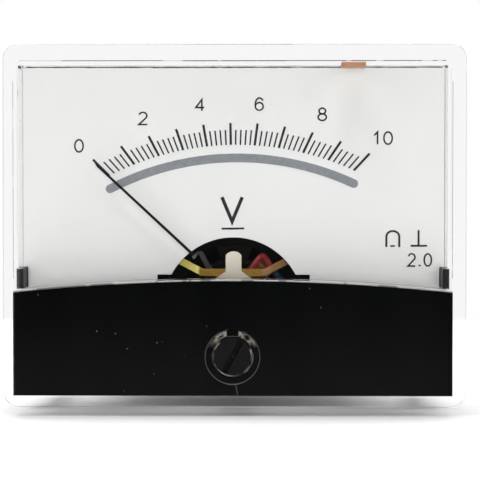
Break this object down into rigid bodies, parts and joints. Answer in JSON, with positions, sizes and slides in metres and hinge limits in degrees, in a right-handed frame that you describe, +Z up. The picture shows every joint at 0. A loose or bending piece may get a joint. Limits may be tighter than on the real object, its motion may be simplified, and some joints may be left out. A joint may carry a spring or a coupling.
{
  "type": "moving-coil panel voltmeter",
  "caption": "Rectangular clear-fronted moving-coil panel meter with a white scale, black apron, zero adjuster, round barrel and studded rear terminals.",
  "frame": {"origin": "axis of the barrel in the plane of the panel, which is the flange's rear face", "axes": "+Y from the front of the panel to its back along the barrel, +Z up, +X to the right as seen from the front"},
  "size_m": [0.06, 0.0458, 0.047],
  "materials": {
    "clear_polystyrene": "clear moulded plastic",
    "sealing_compound": "hard sealing compound",
    "black_gloss": "gloss black moulding",
    "black_plastic": "black thermoset moulding",
    "dial_white": "white lacquered aluminium",
    "print_black": "screen print",
    "print_grey": "screen print",
    "nickel": "nickel plated",
    "zinc_steel": "zinc plated steel",
    "brass": "plain brass",
    "magnet": "blackened magnet alloy",
    "soft_iron": "blackened soft iron",
    "olive_cast": "olive chromated zinc casting",
    "spring_bronze": "spring bronze",
    "pivot_steel": "hardened steel",
    "aluminium": "bright aluminium",
    "copper": "enamelled copper wire",
    "stem_grey": "grey aluminium",
    "needle_black": "black lacquered aluminium",
    "red_wire": "red insulated wire",
    "blue_wire": "blue insulated wire",
    "black_wire": "black insulated wire",
    "resistor_blue": "lacquered film resistor",
    "resistor_tan": "lacquered film resistor"
  },
  "bodies": {
    "case": {"front_cover": "clear_polystyrene", "cover_seal": "sealing_compound", "front_apron": "black_gloss", "dial_plate": "dial_white", "scale_marks": "print_black", "scale_band": "print_grey", "dial_screws": "zinc_steel", "rear_housing": "black_plastic", "mounting_studs": "zinc_steel", "movement_frame": "black_plastic", "frame_screws": "zinc_steel", "core_holder": "olive_cast", "core_magnet": "magnet", "yoke_ring": "soft_iron", "front_bridge": "brass", "rear_bridge": "brass", "bridge_screws": "zinc_steel", "front_jewel_screw": "brass", "rear_jewel_screw": "brass", "jewel_nuts": "brass", "rear_hairspring": "spring_bronze", "series_resistor": "resistor_blue", "balance_resistor": "resistor_tan", "red_lead": "red_wire", "blue_lead": "blue_wire", "black_lead": "black_wire", "terminal_studs": "brass", "terminal_nuts": "brass", "terminal_washers": "zinc_steel", "solder_tags": "nickel"},
    "zero_screw": {"zero_screw": "black_gloss", "zero_clip": "zinc_steel"},
    "zero_lever": {"zero_lever": "nickel", "front_hairspring": "spring_bronze"},
    "moving_element": {"coil_former": "aluminium", "coil_winding": "copper", "front_pivot": "pivot_steel", "rear_pivot": "pivot_steel", "pointer_stem": "stem_grey", "needle": "needle_black", "balance_weights": "copper"}
  },
  "joints": [
    {"name": "zero_screw_turn", "type": "hinge", "parent": "case", "child": "zero_screw", "pos_m": [0, -0.01, -0.0153], "axis": [0, 1, 0], "range_deg": [-45, 45]},
    {"name": "zero_lever_turn", "type": "hinge", "parent": "case", "child": "zero_lever", "pos_m": [0, -0.005, -0.00835], "axis": [0, 1, 0], "range_deg": [-4.6, 4.6]},
    {"name": "pointer_turn", "type": "hinge", "parent": "case", "child": "moving_element", "pos_m": [0, 0, -0.00835], "axis": [0, 1, 0], "range_deg": [-2, 89.4], "stiffness_Nm_per_rad": 0.000006}
  ],
  "couplings": [
    {"joint": "zero_lever_turn", "follows": "zero_screw_turn", "ratio": 0.1}
  ]
}
